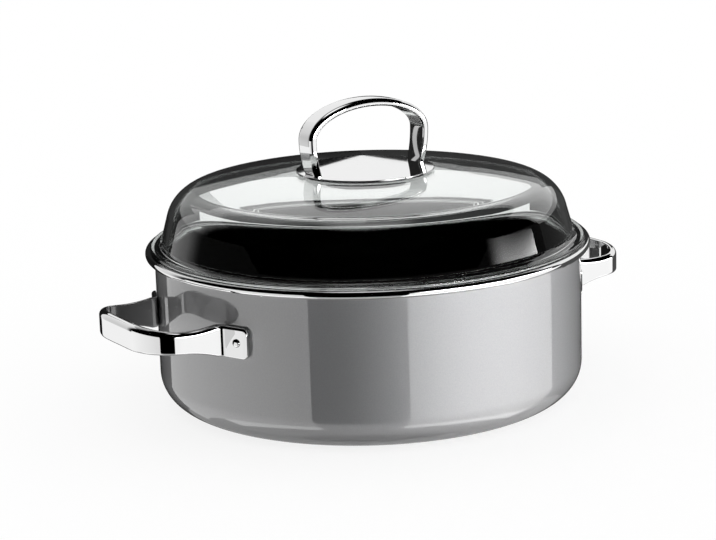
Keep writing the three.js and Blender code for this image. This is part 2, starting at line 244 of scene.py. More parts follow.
def arc(middle, radii, start, end, steps=ARC_STEPS):
    """Points on an ellipse from one angle to another, in degrees."""
    turns = [math.radians(start + (end - start) * i / steps) for i in range(steps + 1)]
    return [(middle[0] + radii[0] * math.cos(t), middle[1] + radii[1] * math.sin(t)) for t in turns]


def mix(ends, at):
    """The value between two ends, at a share of the way."""
    return ends[0] + (ends[1] - ends[0]) * at


def ease(start, end, at):
    """The value between start and end at a share of the way, with a soft start and stop."""
    at = min(max(at, 0), 1)
    return start + (end - start) * at * at * (3 - 2 * at)


def bend(start, corner, end, steps=ARC_STEPS):
    """Points and headings on a curve from one point to another, along the sides of a corner."""
    start, corner, end = Vector(start), Vector(corner), Vector(end)
    places = []
    for i in range(steps + 1):
        t = i / steps
        point = start * (1 - t) ** 2 + corner * (2 * t * (1 - t)) + end * t ** 2
        heading = (corner - start) * (1 - t) + (end - corner) * t
        places.append((point, heading.normalized()))
    return places


def smooth_mesh(name, points, faces):
    """A mesh with smooth faces and sharp creases."""
    mesh = bpy.data.meshes.new(name)
    mesh.from_pydata(points, [], faces)
    mesh.shade_smooth()
    mesh.set_sharp_from_angle(angle=CREASE_ANGLE)
    return mesh


def revolved(name, outline, steps=ROUND_STEPS, closed=False):
    """Turns an outline of radius and height round the Z axis. It runs anticlockwise."""
    points = []
    rings = []
    for radius, height in outline:
        count = steps if radius > 0 else 1
        rings.append([len(points) + i % count for i in range(steps)])
        for i in range(count):
            turn = math.tau * i / steps
            points.append((radius * math.cos(turn), radius * math.sin(turn), height))
    if closed:
        rings.append(rings[0])
    faces = []
    for low, high in zip(rings, rings[1:]):
        for i in range(steps):
            j = (i + 1) % steps
            faces.append(tuple(dict.fromkeys((low[i], low[j], high[j], high[i]))))
    return smooth_mesh(name, points, faces)


def lofted(name, loops):
    """Skin over a row of loops with equally many points, closed by a flat cap at each end."""
    count = len(loops[0])
    points = [point for loop in loops for point in loop]
    faces = []
    for row in range(len(loops) - 1):
        for i in range(count):
            a = row * count + i
            b = row * count + (i + 1) % count
            faces.append((a, b, b + count, a + count))
    faces.append(tuple(reversed(range(count))))
    faces.append(tuple(range(len(points) - count, len(points))))
    return smooth_mesh(name, points, faces)


def strap_section(width, height, radii, crown=0):
    """Rectangle about its middle with a radius for each corner, from the outer top one on.

    The outer side may be crowned, so that it falls from its middle to its edges.
    """
    loop = []
    for quarter, radius in enumerate(radii):
        x = (width / 2 - radius) * (1 if quarter in (0, 3) else -1)
        y = (height / 2 - radius) * (1 if quarter in (0, 1) else -1)
        loop += arc((x, y), (radius, radius), 90 * quarter, 90 * quarter + 90, CORNER_STEPS)
    side = (radii[3] - height / 2, height / 2 - radii[0])
    loop += [(width / 2, mix(side, i / CROWN_STEPS)) for i in range(1, CROWN_STEPS)]
    return [(x - crown * (2 * y / height) ** 2 if x > 0 else x, y) for x, y in loop]


def dress(name, mesh, body, node, slot, *materials):
    """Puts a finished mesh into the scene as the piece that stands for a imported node."""
    piece = bpy.data.objects.new(name, mesh)
    bpy.context.scene.collection.objects.link(piece)
    for material in materials:
        mesh.materials.append(material)
    normals = piece.modifiers.new("Even faces", "WEIGHTED_NORMAL")
    normals.keep_sharp = True
    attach(piece, body)
    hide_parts(node)
    return piece


def add_node(tree, kind, inputs, **settings):
    """Adds a shader node. An input takes a value or the output of another node."""
    node = tree.nodes.new(kind)
    for name, value in settings.items():
        setattr(node, name, value)
    for name, value in inputs.items():
        if isinstance(value, bpy.types.NodeSocket):
            tree.links.new(value, node.inputs[name])
        else:
            node.inputs[name].default_value = value
    return node


def blank_material(name):
    """Gives the material of that name, made if need be, and its tree without any nodes."""
    material = bpy.data.materials.get(name) or bpy.data.materials.new(name)
    material.use_nodes = True
    material.node_tree.nodes.clear()
    return material, material.node_tree


# Sizes of the patterns in the materials. The real pigment flakes are about 0.1 mm.
FLAKE_SIZE = 0.7 * MM
PEEL_SIZE = 4 * MM
CLOUD_SIZE = 6 * MM
WAVE_SIZE = 40 * MM
GRAIN_SIZE = 0.4 * MM


def silver_enamel(finish):
    """Grey vitreous enamel with metal pigment, fired over steel.

    The pigment gives a wide soft sheen, and the glass over it a sharp mirror image.
    """
    material, tree = blank_material("silver_enamel")
    place = add_node(tree, "ShaderNodeTexCoord", {})
    # Pigment flakes are drawn larger than they are, so that they show.
    flakes = add_node(tree, "ShaderNodeTexNoise", {
        "Vector": place.outputs["Object"], "Scale": 1 / FLAKE_SIZE, "Detail": 1.0})
    tint = add_node(tree, "ShaderNodeMapRange", {
        "Value": flakes.outputs["Fac"], "From Min": 0.3, "From Max": 0.7, "To Min": 0.97, "To Max": 1.03})
    tinted = add_node(tree, "ShaderNodeVectorMath", {
        0: tuple(finish.enamel), "Scale": tint.outputs["Result"]}, operation="SCALE")
    shader = add_node(tree, "ShaderNodeBsdfPrincipled", {
        "Base Color": tinted.outputs["Vector"], "Metallic": 1.0, "Roughness": 0.68,
        "Coat Weight": 1.0, "Coat Roughness": 0.03, "Coat IOR": 2.1})
    add_node(tree, "ShaderNodeOutputMaterial", {"Surface": shader.outputs["BSDF"]})
    return material


def black_enamel(finish):
    """Black vitreous enamel fired over steel: deep black with a glassy shine."""
    material, tree = blank_material("black_enamel")
    place = add_node(tree, "ShaderNodeTexCoord", {})
    # The glaze flows into a faint orange peel.
    peel = add_node(tree, "ShaderNodeTexNoise", {
        "Vector": place.outputs["Object"], "Scale": 1 / PEEL_SIZE})
    bumps = add_node(tree, "ShaderNodeBump", {
        "Height": peel.outputs["Fac"], "Strength": 0.1, "Distance": 0.1 * MM})
    shader = add_node(tree, "ShaderNodeBsdfPrincipled", {
        "Base Color": (*finish.lining, 1), "Roughness": 0.12, "Normal": bumps.outputs["Normal"]})
    add_node(tree, "ShaderNodeOutputMaterial", {"Surface": shader.outputs["BSDF"]})
    return material


def mirror_steel(finish):
    """Stainless steel buffed to a mirror: neutral white reflections with a trace of haze."""
    material, tree = blank_material("mirror_steel")
    place = add_node(tree, "ShaderNodeTexCoord", {})
    # Buffing leaves cloudy patches that scatter a little more light.
    clouds = add_node(tree, "ShaderNodeTexNoise", {
        "Vector": place.outputs["Object"], "Scale": 1 / CLOUD_SIZE})
    haze = add_node(tree, "ShaderNodeMapRange", {
        "Value": clouds.outputs["Fac"], "To Min": 0.01, "To Max": 0.03})
    shader = add_node(tree, "ShaderNodeBsdfPrincipled", {
        "Base Color": (*finish.steel, 1), "Metallic": 1.0, "Roughness": haze.outputs["Result"]})
    add_node(tree, "ShaderNodeOutputMaterial", {"Surface": shader.outputs["BSDF"]})
    return material


def toughened_glass(finish):
    """Pressed and toughened soda-lime glass: clear, with a faint cast where it is thick."""
    material, tree = blank_material("toughened_glass")
    place = add_node(tree, "ShaderNodeTexCoord", {})
    # Pressing leaves a waviness that only shows as a slight bend in reflections.
    waves = add_node(tree, "ShaderNodeTexNoise", {
        "Vector": place.outputs["Object"], "Scale": 1 / WAVE_SIZE})
    bumps = add_node(tree, "ShaderNodeBump", {
        "Height": waves.outputs["Fac"], "Strength": 0.3, "Distance": 0.05 * MM})
    shader = add_node(tree, "ShaderNodeBsdfPrincipled", {
        "Base Color": (*finish.glass, 1), "Roughness": 0.0, "IOR": 1.52, "Transmission Weight": 1.0,
        "Normal": bumps.outputs["Normal"]})
    add_node(tree, "ShaderNodeOutputMaterial", {"Surface": shader.outputs["BSDF"]})
    return material


def moulded_silicone(finish):
    """Moulded silicone rubber: dark and dull, with a fine moulded grain."""
    material, tree = blank_material("moulded_silicone")
    place = add_node(tree, "ShaderNodeTexCoord", {})
    # The mould was spark-eroded, which leaves a fine grain.
    grain = add_node(tree, "ShaderNodeTexNoise", {
        "Vector": place.outputs["Object"], "Scale": 1 / GRAIN_SIZE})
    bumps = add_node(tree, "ShaderNodeBump", {
        "Height": grain.outputs["Fac"], "Strength": 0.2, "Distance": 0.05 * MM})
    shader = add_node(tree, "ShaderNodeBsdfPrincipled", {
        "Base Color": (*finish.silicone, 1), "Roughness": 0.6, "Normal": bumps.outputs["Normal"]})
    add_node(tree, "ShaderNodeOutputMaterial", {"Surface": shader.outputs["BSDF"]})
    return material


class MakeShell(bpy.types.Operator):
    """Make the enamelled pot, silver grey outside and black inside."""
    bl_idname = "braising_pot.shell"
    bl_label = "Enamelled Pot"

    def execute(self, context):
        pot = context.scene.braising_pot
        shell = pot.shell
        bottom = shell.radius - shell.rounding
        inside = shell.rounding - shell.wall
        neck = (shell.radius + shell.lip_bend, shell.lip_under - shell.lip_bend)
        lip = shell.lip_bend + shell.wall
        outside = [(0, 0)]
        outside += arc((bottom, shell.rounding), (shell.rounding, shell.rounding), -90, 0, WIDE_ARC_STEPS)
        outside += arc(neck, (shell.lip_bend, shell.lip_bend), 180, 90)
        outside += [(shell.lip_edge, shell.lip_under), (shell.lip_edge, shell.height)]
        lining = arc(neck, (lip, lip), 90, 180)
        lining += arc((bottom, shell.floor + inside), (inside, inside), 0, -90, WIDE_ARC_STEPS)
        lining += [(0, shell.floor)]
        mesh = revolved("pot_shell", outside + lining)
        for face in mesh.polygons:
            face.material_index = int(face.index // ROUND_STEPS >= len(outside))
        dress("pot_shell", mesh, "pot", "pot_body", "enamel",
              silver_enamel(pot.finish), black_enamel(pot.finish))
        return {"FINISHED"}


class MakeRing(bpy.types.Operator):
    """Make the steel ring that is folded over the lip as a bead."""
    bl_idname = "braising_pot.ring"
    bl_label = "Rim Bead"

    def execute(self, context):
        pot = context.scene.braising_pot
        shell = pot.shell
        low = shell.lip_under - shell.fit
        foot = shell.radius + shell.lip_bend + shell.fit
        slot = shell.lip_edge + shell.fit
        start = low - shell.ring_sheet
        middle = (start + shell.rim_top) / 2
        inner = shell.bore + shell.ring_inset
        outline = [(foot, start)]
        outline += arc((slot, middle), (shell.ring_bulge, shell.rim_top - middle), -90, 90, WIDE_ARC_STEPS)
        outline += [(inner, shell.rim_top), (inner, shell.height), (slot, shell.height)]
        outline += [(slot, low), (foot, low)]
        mesh = revolved("rim_bead", outline, closed=True)
        dress("rim_bead", mesh, "pot", "rim_ring", "polished_steel", mirror_steel(pot.finish))
        return {"FINISHED"}


class StrapRoute:
    """Half of a handle in plan, from the end of a pad to the middle of the grip, at the +X side."""

    def __init__(self, strap, shell):
        self.strap = strap
        self.pad = shell.radius + shell.fit + strap.pad_thickness / 2
        self.arm = (strap.width - strap.arm_thickness) / 2
        self.grip = shell.radius + strap.reach - strap.grip_thickness / 2
        self.turn = math.asin(self.arm / self.pad)
        self.pad_start = self.turn + strap.crease / self.pad
        self.pad_end = self.turn + strap.pad_length / self.pad
        self.stud = (self.pad_start + self.pad_end) / 2

    def on_pad(self, turn):
        return Vector((math.cos(turn), math.sin(turn))) * self.pad

    def stations(self):
        """Middle, heading, height and thickness of the bar at each place along the route."""
        strap = self.strap
        places = []
        # The rounded end of the pad.
        for i in range(ARC_STEPS + 1):
            quarter = math.radians(90 * i / ARC_STEPS)
            turn = self.pad_end - strap.pad_corner * (1 - math.cos(quarter)) / self.pad
            height = strap.pad_height - 2 * strap.pad_corner * (1 - math.sin(quarter))
            heading = Vector((math.sin(turn), -math.cos(turn)))
            places.append((self.on_pad(turn), heading, height, strap.pad_thickness))
        # The fold from the pad to the arm.
        crease = self.on_pad(self.turn)
        arm_start = Vector((crease.x + strap.crease, self.arm))
        arm_end = Vector((self.grip - strap.corner_depth, self.arm))
        fold = bend(self.on_pad(self.pad_start), crease, arm_start)
        for i, (point, heading) in enumerate(fold):
            thickness = ease(strap.pad_thickness, strap.arm_thickness, i / (len(fold) - 1))
            places.append((point, heading, strap.pad_height, thickness))
        # The arm, which narrows from the height of the pad.
        for i in range(1, ARM_STEPS):
            point = arm_start.lerp(arm_end, i / ARM_STEPS)
            left = max(0, 1 - (point.x - arm_start.x) / strap.flare)
            height = strap.arm_height + (strap.pad_height - strap.arm_height) * left ** 2
            places.append((point, Vector((1, 0)), height, strap.arm_thickness))
        # The bend from the arm into the grip.
        corner = Vector((arm_end.x, self.arm - strap.corner_width))
        for i in range(GRIP_BEND_STEPS + 1):
            at = i / GRIP_BEND_STEPS
            turn = math.radians(90 * (1 - at))
            out = Vector((strap.corner_depth * math.cos(turn), strap.corner_width * math.sin(turn)))
            heading = Vector((strap.corner_depth * math.sin(turn), -strap.corner_width * math.cos(turn)))
            height = ease(strap.arm_height, strap.grip_height, at)
            thickness = ease(strap.arm_thickness, strap.grip_thickness, at)
            places.append((corner + out, heading.normalized(), height, thickness))
        return places

    def loops(self):
        """Sections of the whole bar, from one pad through the grip to the other pad."""
        strap = self.strap
        half = self.stations()
        crease = self.on_pad(self.turn).x
        whole = [(*place, 1) for place in half] + [(*place, -1) for place in reversed(half)]
        loops = []
        for middle, heading, height, thickness, side in whole:
            out = Vector((-heading.y, heading.x * side))
            level = strap.height + strap.rise * max(0, (middle.x - crease) / (self.grip - crease))
            radii = [edge * thickness for edge in (strap.brow, strap.edge, strap.edge, strap.foot)]
            loop = []
            for across, up in strap_section(thickness, height, radii):
                loop.append((middle.x + out.x * across, middle.y * side + out.y * across, level + up))
            loops.append(loop)
        return loops


HANDLE_TURNS = {"right": 0, "left": math.pi}


class MakeStraps(bpy.types.Operator):
    """Make the two side handles, each a strap with a folded pad at both ends."""
    bl_idname = "braising_pot.straps"
    bl_label = "Strap Handles"

    def execute(self, context):
        pot = context.scene.braising_pot
        loops = StrapRoute(pot.strap, pot.shell).loops()
        for name, turn in HANDLE_TURNS.items():
            mesh = lofted(f"{name}_strap", loops)
            mesh.transform(Matrix.Rotation(turn, 4, "Z"))
            dress(f"{name}_strap", mesh, "pot", f"{name}_handle", "polished_steel",
                  mirror_steel(pot.finish))
        return {"FINISHED"}


class MakeStuds(bpy.types.Operator):
    """Make the studs that hold the pads to the wall."""
    bl_idname = "braising_pot.studs"
    bl_label = "Handle Studs"

    def execute(self, context):
        pot = context.scene.braising_pot
        strap, shell = pot.strap, pot.shell
        stud = StrapRoute(strap, shell).stud
        # The pad lies the fit off the wall, and the head half the fit off the pad.
        seat = shell.fit + strap.pad_thickness + shell.fit / 2
        outline = [(0, shell.fit), (strap.stud_shank, shell.fit), (strap.stud_shank, seat)]
        outline += arc((0, seat), (strap.stud_head, strap.stud_dome), 0, 90)[:-1]
        outline += [(0, seat + strap.stud_dome)]
        lying = Matrix.Rotation(math.pi / 2, 4, "Y")
        onto_wall = Matrix.Translation((shell.radius, 0, strap.height)) @ lying
        for name, turn in HANDLE_TURNS.items():
            front = 1 if name == "left" else -1
            for end, side in (("front", front), ("rear", -front)):
                mesh = revolved(f"{name}_{end}_rivet", outline, SMALL_STEPS)
                mesh.transform(Matrix.Rotation(turn + stud * side, 4, "Z") @ onto_wall)
                dress(f"{name}_{end}_rivet", mesh, "pot", f"{name}_{end}_stud", "polished_steel",
                      mirror_steel(pot.finish))
        return {"FINISHED"}


class Dome:
    """Heights and arcs of the lid that its pieces share."""

    def __init__(self, lid, shell):
        self.lid = lid
        self.shell = shell
        self.rim = shell.rim_top
        self.top = self.rim + lid.rise
        self.under = self.top - lid.glass
        self.plate_under = self.top + lid.gasket
        self.plate_top = self.plate_under + lid.plate
        self.screw_bore = lid.screw + shell.fit
        self.boss = self.screw_bore + lid.boss_wall
        self.glass_bore = self.boss + 2 * shell.fit
        self.seat = lid.plate_radius + lid.seat_margin
        self.skirt = shell.bore - lid.skirt_gap
        # The shoulder's middle slides along the wall to where its arc runs smoothly into the crown's.
        wall = Vector((-math.sin(lid.lean), math.cos(lid.lean)))
        inward = Vector((-math.cos(lid.lean), -math.sin(lid.lean)))
        self.crown = Vector((self.seat, self.top - lid.crown))
        start = Vector((self.skirt, self.rim)) + inward * lid.shoulder - self.crown
        along = start.dot(wall)
        reach = lid.crown - lid.shoulder
        slide = math.sqrt(along ** 2 - start.length_squared + reach ** 2) - along
        self.shoulder = self.crown + start + wall * slide
        meeting = self.shoulder - self.crown
        self.meet = math.degrees(math.atan2(meeting.y, meeting.x))

    def wall_at(self, height, depth):
        """Radius of the leaning wall at a height, set in by a depth."""
        lean = self.lid.lean
        return self.skirt - depth / math.cos(lean) - (height - self.rim) * math.tan(lean)

    def skin(self, depth):
        """Crown and shoulder of the dome from the plate's seat outward, set in by a depth."""
        crown = self.lid.crown - depth
        shoulder = self.lid.shoulder - depth
        lean = math.degrees(self.lid.lean)
        points = arc(self.crown, (crown, crown), 90, self.meet, WIDE_ARC_STEPS)
        points += arc(self.shoulder, (shoulder, shoulder), self.meet, lean, WIDE_ARC_STEPS)[1:]
        return points


class MakeGlass(bpy.types.Operator):
    """Make the domed glass with its flange and skirt."""
    bl_idname = "braising_pot.glass"
    bl_label = "Glass Dome"

    def execute(self, context):
        pot = context.scene.braising_pot
        lid, shell = pot.lid, pot.shell
        dome = Dome(lid, shell)
        skirt_end = dome.rim - lid.skirt_depth
        edge = lid.flange_edge / 2
        flange = shell.ring_edge - shell.ring_bulge - lid.flange_inset - edge
        seat = dome.rim + lid.flange_air
        top = dome.rim + lid.flange_edge
        fillet = top + lid.flange_fillet
        outline = [(dome.glass_bore, dome.under), *dome.skin(lid.glass)]
        outline += [(dome.wall_at(skirt_end, lid.glass), skirt_end), (dome.skirt, skirt_end)]
        outline += [(dome.skirt, seat)]
        outline += arc((flange, (seat + top) / 2), (edge, (top - seat) / 2), -90, 90)
        root = dome.wall_at(top, 0)
        sweep = bend((root + lid.flange_fillet, top), (root, top), (dome.wall_at(fillet, 0), fillet))
        outline += [tuple(point) for point, _ in sweep]
        outline += list(reversed(dome.skin(0))) + [(dome.glass_bore, dome.top)]
        mesh = revolved("dome_glass", outline, closed=True)
        dress("dome_glass", mesh, "lid", "glass_lid", "clear_glass", toughened_glass(pot.finish))
        return {"FINISHED"}


def ring_outline(inner, outer, low, high, edge):
    """Outline of a flat ring with rounded outer edges."""
    outline = [(inner, low)]
    outline += arc((outer - edge, low + edge), (edge, edge), -90, 0, RING_EDGE_STEPS)
    outline += arc((outer - edge, high - edge), (edge, edge), 0, 90, RING_EDGE_STEPS)
    return outline + [(inner, high)]


# Radius of the outer edges as a share of the thickness.
GASKET_EDGE = 1 / 4
WASHER_EDGE = 1 / 3


class MakeCrown(bpy.types.Operator):
    """Make the plate, gaskets, washer and slotted screw at the crown of the lid."""
    bl_idname = "braising_pot.crown"
    bl_label = "Plate and Gaskets"

    def execute(self, context):
        pot = context.scene.braising_pot
        lid, shell, finish = pot.lid, pot.shell, pot.finish
        dome = Dome(lid, shell)
        boss_end = dome.plate_under - lid.boss_length
        blind = dome.plate_top - lid.plate_skin
        edge = lid.plate_edge
        plate = [(0, blind), (dome.screw_bore, blind), (dome.screw_bore, boss_end), (dome.boss, boss_end)]
        plate += [(dome.boss, dome.plate_under), (lid.plate_radius, dome.plate_under)]
        corner = (lid.plate_radius - edge, dome.plate_top - edge)
        plate += arc(corner, (edge, edge), 0, 90, PLATE_EDGE_STEPS)
        plate += [(0, dome.plate_top)]
        mesh = revolved("crown_plate", plate)
        dress("crown_plate", mesh, "lid", "lid_plate", "polished_steel", mirror_steel(finish))

        gasket_end = dome.under - lid.inner_gasket
        outer = ring_outline(dome.glass_bore, lid.plate_radius - lid.gasket_inset,
                             dome.top, dome.plate_under, lid.gasket * GASKET_EDGE)
        mesh = revolved("crown_gasket", outer, closed=True)
        dress("crown_gasket", mesh, "lid", "plate_gasket", "silicone", moulded_silicone(finish))
        inner = ring_outline(dome.glass_bore, lid.washer_radius + shell.fit,
                             gasket_end, dome.under, lid.inner_gasket * GASKET_EDGE)
        mesh = revolved("inside_gasket", inner, SMALL_STEPS, closed=True)
        dress("inside_gasket", mesh, "lid", "inner_gasket", "silicone", moulded_silicone(finish))
        washer = ring_outline(dome.screw_bore, lid.washer_radius,
                              gasket_end - lid.washer, gasket_end, lid.washer * WASHER_EDGE)
        mesh = revolved("inside_washer", washer, SMALL_STEPS, closed=True)
        dress("inside_washer", mesh, "lid", "inner_washer", "polished_steel", mirror_steel(finish))
        self.make_screw(lid, gasket_end - lid.washer, blind - shell.fit, finish)
        return {"FINISHED"}

    def make_screw(self, lid, seat, tip, finish):
        """Makes the screw from its seat to its tip, with a slot cut across its rounded head."""
        rounding = lid.screw_head / 2
        low = seat - lid.screw_head
        outline = [(0, low)]
        corner = (lid.screw_head_radius - rounding, seat - rounding)
        outline += arc(corner, (rounding, rounding), -90, 0, SCREW_HEAD_STEPS)
        outline += [(lid.screw_head_radius, seat), (lid.screw, seat), (lid.screw, tip), (0, tip)]
        mesh = revolved("slotted_screw", outline, SMALL_STEPS)
        screw = dress("slotted_screw", mesh, "lid", "lid_screw", "polished_steel", mirror_steel(finish))
        reach = 2 * lid.screw_head_radius
        half = lid.screw_slot / 2
        bottom, top = low - lid.screw_slot, low + lid.screw_slot
        section = [(-half, bottom), (half, bottom), (half, top), (-half, top)]
        loops = [[(x, y, z) for y, z in section] for x in (-reach, reach)]
        cutter = bpy.data.objects.new("slot_cutter", lofted("slot_cutter", loops))
        slot = screw.modifiers.new("Slot", "BOOLEAN")
        slot.object = cutter
        slot.solver = "EXACT"
        bpy.context.scene.collection.objects.link(cutter)
        graph = bpy.context.evaluated_depsgraph_get()
        slotted = bpy.data.meshes.new_from_object(screw.evaluated_get(graph))
        screw.modifiers.remove(slot)
        screw.data = slotted
        slotted.set_sharp_from_angle(angle=CREASE_ANGLE)
        bpy.data.objects.remove(cutter)


# The higher the power, the sooner the bow's crowned side turns flat on the way down from its top.
CROWN_POWER = 4


class MakeBow(bpy.types.Operator):
    """Make the bow that lifts the lid: two legs on level feet that swell outward under an arch."""
    bl_idname = "braising_pot.bow"
    bl_label = "Lid Bow"

    def execute(self, context):
        pot = context.scene.braising_pot
        bow = pot.bow
        base = Dome(pot.lid, pot.shell).plate_top
        foot = (bow.foot_span - bow.leg_thickness) / 2
        belly = (bow.belly_span - bow.leg_thickness) / 2
        rise = bow.height - bow.leg - bow.top_thickness / 2
        half = []
        for i in range(LEG_STEPS):
            at = i / LEG_STEPS
            bulge = 1 - (1 - at) ** 2
            slope = 2 * (1 - at) * (belly - foot) / bow.leg if i else 0
            width = mix((bow.foot_width, bow.width), bulge)
            half.append((mix((foot, belly), bulge), base + at * bow.leg, Vector((slope, 1)), width,
                         bow.leg_thickness, 0))
        for i in range(ARCH_STEPS + 1):
            turn = math.radians(90 * i / ARCH_STEPS)
            heading = Vector((-belly * math.sin(turn), rise * math.cos(turn)))
            thickness = bow.leg_thickness + (bow.top_thickness - bow.leg_thickness) * math.sin(turn)
            half.append((belly * math.cos(turn), base + bow.leg + rise * math.sin(turn), heading, bow.width,
                         thickness, bow.crown * math.sin(turn) ** CROWN_POWER))
        whole = [(*place, 1) for place in half] + [(*place, -1) for place in reversed(half[:-1])]
        loops = []
        for x, z, heading, width, thickness, crown, side in whole:
            out = Vector((heading.y, -heading.x)).normalized()
            loop = []
            radii = [edge * thickness for edge in (bow.brow, bow.edge, bow.edge, bow.brow)]
            for across, along in strap_section(thickness, width, radii, crown):
                loop.append(((x + out.x * across) * side, along, z + out.y * across))
            loops.append(loop)
        mesh = lofted("lid_bow", loops)
        dress("lid_bow", mesh, "lid", "lid_handle", "polished_steel", mirror_steel(pot.finish))
        return {"FINISHED"}


# What shows the cards: polished surfaces, a look through the glass, or both.
MIRRORED = ("glossy",)
THROUGH = ("transmission",)
BOTH = MIRRORED + THROUGH


class Card(NamedTuple):
    """A panel on a tent round the pot, hidden from the camera. The tent's radius is in metres.

    Azimuths count from the camera's, in degrees like the elevations. Tones are those of the two ends.
    The top edge may rise from end to end. Fades are shares of the panel at its start, end, foot and top.
    """
    name: str
    azimuths: tuple
    elevations: tuple
    tones: tuple
    rays: tuple = BOTH
    rise: float = 0
    fades: tuple = (0, 0, 0, 0)
    tent: float = 5


STUDIO_CARDS = (
    Card("left_wall", (-140, -104), (-10.5, 40), (0.95, 0.65), fades=(0, 0.45, 0, 0)),
    Card("left_end", (-140, -104), (-40, -10.5), (1.05, 1.1)),
    Card("left_table", (-104, -32.1), (-40, -1), (1.1, 0.85)),
    Card("left_glow", (-104, -32.1), (-50, -40), (1.6, 1.5)),
    Card("left_dark", (-104, -32.1), (-1, 40), (0, 0)),
    Card("front_flag", (-32.1, 19.4), (-30, 40), (0, 0)),
    Card("right_table", (19.4, 112), (-40, -1), (1.1, 1.2)),
    Card("right_glow", (19.4, 112), (-50, -40), (2.2, 2.4)),
    Card("key_softbox", (19.4, 104), (-1, 13), (35, 0), fades=(0.35, 0, 0, 0.9)),
    Card("glint_softbox", (68, 104), (5.5, 15.2), (13, 8), MIRRORED, rise=-7.8,
         fades=(0.35, 0, 0, 0.5), tent=4.9),
    Card("key_edge", (104, 112), (-1, 13), (0, 0)),
    Card("right_dark", (19.4, 112), (13, 40), (0, 0)),
    Card("right_wing", (112, 168), (-30, 8), (0.08, 0.08), MIRRORED),
    Card("right_back_flag", (153, 180), (-30, 24.6), (0.03, 0.03), MIRRORED, rise=-4.6, tent=0.85),
    Card("left_back_flag", (180, 231), (-30, 20), (0.01, 0.01), MIRRORED, rise=12.9, tent=0.85),
    Card("right_ground", (0, 180), (-70, -30), (0.5, 0.5), MIRRORED, tent=5.2),
    Card("left_ground", (-180, 0), (-70, -30), (0.4, 0.5), MIRRORED, tent=5.2),
    Card("nadir", (-180, 180), (-90, -70), (0.2, 0.2), MIRRORED, tent=5.2),
    Card("left_ceiling", (-180, -100), (40, 62), (0.5, 0.5), fades=(0, 0.5, 0, 0)),
    Card("right_ceiling", (-100, 180), (40, 62), (0, 0)),
    Card("zenith", (-180, 180), (62, 90), (0, 0)),
)


# The black card behind the bow, in metres. Its slit leans, from a place at the foot to one at the top.
BOW_FLAG_BACK = 0.2
BOW_FLAG_SIDES = (-0.12, -0.03)
BOW_FLAG_HEIGHTS = (0.1, 0.27)
BOW_FLAG_SLIT = (-0.0825, -0.1165)
BOW_FLAG_GAP = 0.005
# Tones of the other cards, where 1 is white.
BLACK_TONE = 0.02
ROOM_TONE = 0.05
OVERHEAD_TONE = 1.3
# The floor: the share of its white that is its own glow, and how far it lies below the base.
PAPER_GLOW = 0.8
PAPER_DROP = 0.1 * MM
# Facets of a card, and rings of the softbox over the lid.
CARD_COLUMNS = 48
CARD_ROWS = 24
OVERHEAD_RINGS = 12


def outward(azimuth, elevation):
    """Direction from the pot to a place round it. At azimuth 0 that is -Y."""
    level = math.cos(elevation)
    return Vector((math.sin(azimuth) * level, -math.cos(azimuth) * level, math.sin(elevation)))


